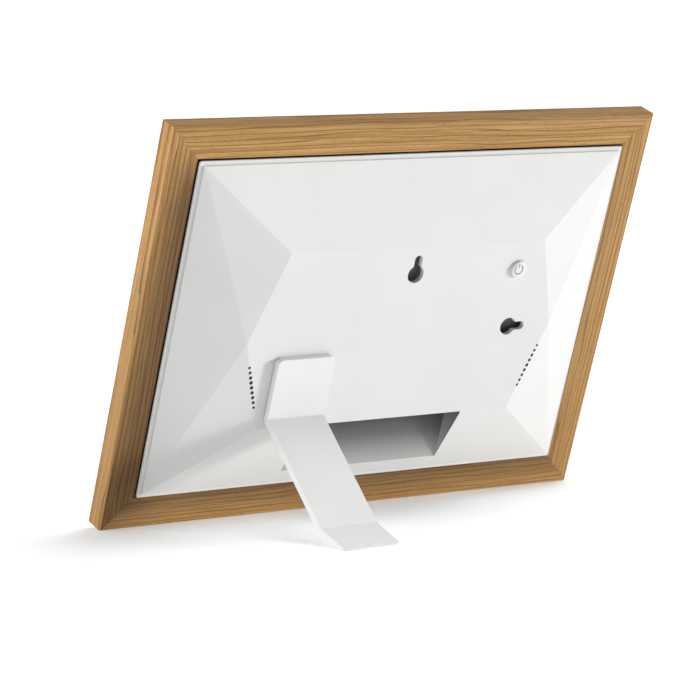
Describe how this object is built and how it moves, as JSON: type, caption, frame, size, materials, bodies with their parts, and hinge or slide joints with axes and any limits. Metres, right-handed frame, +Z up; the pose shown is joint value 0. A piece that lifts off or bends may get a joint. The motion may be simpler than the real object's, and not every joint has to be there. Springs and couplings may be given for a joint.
{
  "type": "digital photo frame",
  "caption": "Table-top digital picture frame with a mitred wooden moulding, faceted back cover with port bay and keyholes, and a bent stand that turns for landscape or portrait.",
  "frame": {"origin": "centre of the footprint on the surface it stands on, at rest in landscape", "axes": "+X to the right seen from the front, +Y towards the back, +Z up"},
  "size_m": [0.276, 0.112, 0.1937],
  "materials": {
    "oak": "oiled oak with an open straight grain, slightly rounded edges",
    "clear_glass": "clear float glass",
    "mat_card": "smooth off-white mount card",
    "screen_glass": "dark screen, off",
    "white_plastic": "white moulded plastic with a fine spark texture",
    "button_plastic": null,
    "steel": "zinc plated steel",
    "dark_steel": "dark passivated sheet steel",
    "brass": "turned brass",
    "circuit_board": "green solder mask",
    "black_plastic": "black moulded plastic",
    "nylon": "natural nylon",
    "acoustic_cloth": "fine dark acoustic cloth",
    "ribbon_plastic": "flat polyester ribbon with printed tracks"
  },
  "bodies": {
    "frame": {"frame_rail_top": "oak", "frame_rail_left": "oak", "frame_rail_bottom": "oak", "frame_rail_right": "oak", "front_glass": "clear_glass", "mat_board": "mat_card", "lcd_panel": "screen_glass", "rear_cover": "white_plastic", "frame_clip_top": "steel", "frame_clip_left": "steel", "frame_clip_bottom": "steel", "frame_clip_right": "steel", "chassis_plate": "steel", "chassis_screw_top_left": "steel", "chassis_screw_top_right": "steel", "chassis_screw_bottom_left": "steel", "chassis_screw_bottom_right": "steel", "board_screw_1": "steel", "board_screw_2": "steel", "board_screw_3": "steel", "board_screw_4": "steel", "processor_shield": "steel", "usb_port": "steel", "card_slot": "steel", "hanger_cup_landscape": "dark_steel", "hanger_cup_portrait": "dark_steel", "wifi_module": "dark_steel", "board_standoff_1": "brass", "board_standoff_2": "brass", "board_standoff_3": "brass", "board_standoff_4": "brass", "main_board": "circuit_board", "backlight_unit": "black_plastic", "power_switch": "black_plastic", "power_jack": "black_plastic", "speaker_left": "black_plastic", "speaker_right": "black_plastic", "speaker_lead_left": "black_plastic", "speaker_lead_right": "black_plastic", "stand_friction_ring": "nylon", "speaker_cloth_left": "acoustic_cloth", "speaker_cloth_right": "acoustic_cloth", "screen_ribbon": "ribbon_plastic"},
    "stand": {"stand": "white_plastic", "stand_washer": "steel", "stand_screw": "steel"},
    "power_button": {"power_button": "button_plastic"}
  },
  "joints": [
    {"name": "stand_turn", "type": "hinge", "parent": "frame", "child": "stand", "pos_m": [0.0549, -0.00573, 0.06711], "axis": [0, 0.9483, -0.3173], "range_deg": [-90, 0]},
    {"name": "power_press", "type": "slide", "parent": "frame", "child": "power_button", "axis": [0, -0.9483, 0.3173], "range_m": [0, 0.0008], "stiffness_N_per_m": 1500}
  ]
}
